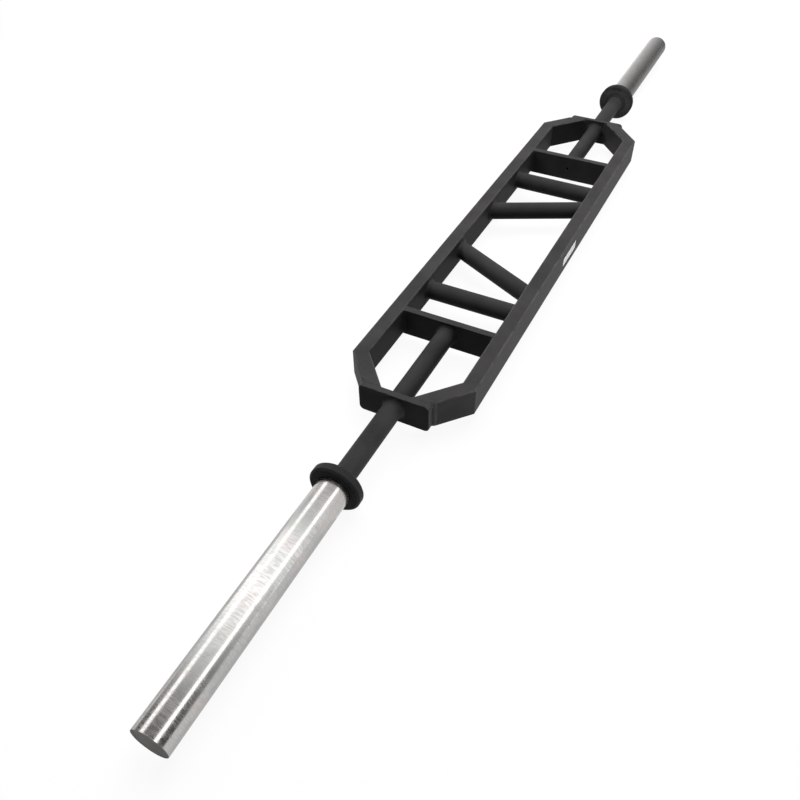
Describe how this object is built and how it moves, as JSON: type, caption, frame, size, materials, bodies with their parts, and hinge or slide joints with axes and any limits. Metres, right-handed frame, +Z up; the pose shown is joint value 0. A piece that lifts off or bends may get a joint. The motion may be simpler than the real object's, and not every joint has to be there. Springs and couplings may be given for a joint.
{
  "type": "swiss bar",
  "caption": "Multi-grip barbell: a flat frame of rectangular tube with straight and angled neutral handles, and a rotating sleeve with a collar at each end.",
  "frame": {"origin": "middle of the bar, on the axis of its shafts and sleeves", "axes": "+X along the bar to the right sleeve, +Y towards the back rail, +Z up out of the frame's top face"},
  "size_m": [2.1, 0.2086, 0.0786],
  "materials": {
    "frame_paint": "satin black powder coat",
    "handle_paint": "satin black powder coat",
    "shaft_paint": "satin black powder coat",
    "collar_paint": "satin black powder coat",
    "sleeve_steel": "bright ground steel with fine turning marks",
    "cap_steel": "dull grey faced steel",
    "bush_bronze": "plain turned bearing bronze",
    "washer_steel": "plain zinc",
    "spring_steel": "oiled black spring steel",
    "label_white": "blank matt sticker"
  },
  "bodies": {
    "frame": {"front_rail": "frame_paint", "back_rail": "frame_paint", "front_left_corner_tube": "frame_paint", "front_right_corner_tube": "frame_paint", "back_left_corner_tube": "frame_paint", "back_right_corner_tube": "frame_paint", "left_end_plate": "frame_paint", "right_end_plate": "frame_paint", "left_cross_plate": "frame_paint", "right_cross_plate": "frame_paint", "left_straight_handle": "handle_paint", "right_straight_handle": "handle_paint", "left_angled_handle": "handle_paint", "right_angled_handle": "handle_paint", "blank_label": "label_white", "left_shaft": "shaft_paint", "right_shaft": "shaft_paint", "left_collar": "collar_paint", "right_collar": "collar_paint", "left_thrust_washer": "washer_steel", "right_thrust_washer": "washer_steel", "left_retaining_washer": "washer_steel", "right_retaining_washer": "washer_steel", "left_retaining_ring": "spring_steel", "right_retaining_ring": "spring_steel"},
    "left_sleeve_assembly": {"left_sleeve": "sleeve_steel", "left_inner_bush": "bush_bronze", "left_outer_bush": "bush_bronze", "left_end_cap": "cap_steel"},
    "right_sleeve_assembly": {"right_sleeve": "sleeve_steel", "right_inner_bush": "bush_bronze", "right_outer_bush": "bush_bronze", "right_end_cap": "cap_steel"}
  },
  "joints": [
    {"name": "left_sleeve_spin", "type": "hinge", "parent": "frame", "child": "left_sleeve_assembly", "pos_m": [-0.862, 0, 0], "axis": [1, 0, 0], "continuous": true},
    {"name": "right_sleeve_spin", "type": "hinge", "parent": "frame", "child": "right_sleeve_assembly", "pos_m": [0.862, 0, 0], "axis": [1, 0, 0], "continuous": true}
  ]
}
